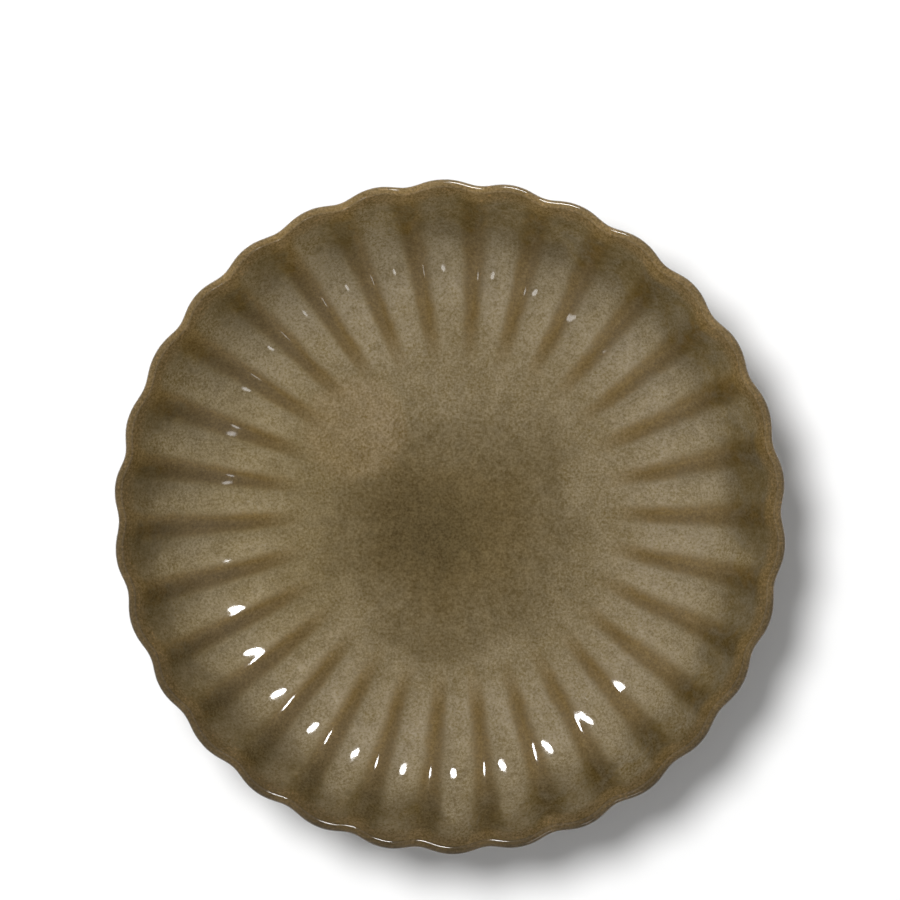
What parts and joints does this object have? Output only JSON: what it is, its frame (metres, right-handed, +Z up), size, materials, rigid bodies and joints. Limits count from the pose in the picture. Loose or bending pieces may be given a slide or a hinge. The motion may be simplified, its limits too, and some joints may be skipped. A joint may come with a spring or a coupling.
{
  "type": "soy sauce dish",
  "caption": "Small round fluted dish in glazed stoneware, with petal ribs fading into a plain floor, a scalloped brown lip and a bare foot ring, for soy sauce or condiments.",
  "frame": {"origin": "centre of the foot ring's lower face, on the table", "axes": "+Z up along the dish's axis, +X through a rib and the notch at its end"},
  "size_m": [0.1094, 0.11, 0.021],
  "materials": {
    "clay": "bare fired stoneware, grainy and matt",
    "slip": "bare fired slip, smooth and matt",
    "glaze": "glossy taupe reactive glaze, breaking to brown on the ribs and lip"
  },
  "bodies": {
    "root": {"stoneware_body": "clay", "luting_slip": "slip", "foot_ring": "clay", "glaze_coat": "glaze", "recess_glaze": "glaze"}
  },
  "joints": []
}
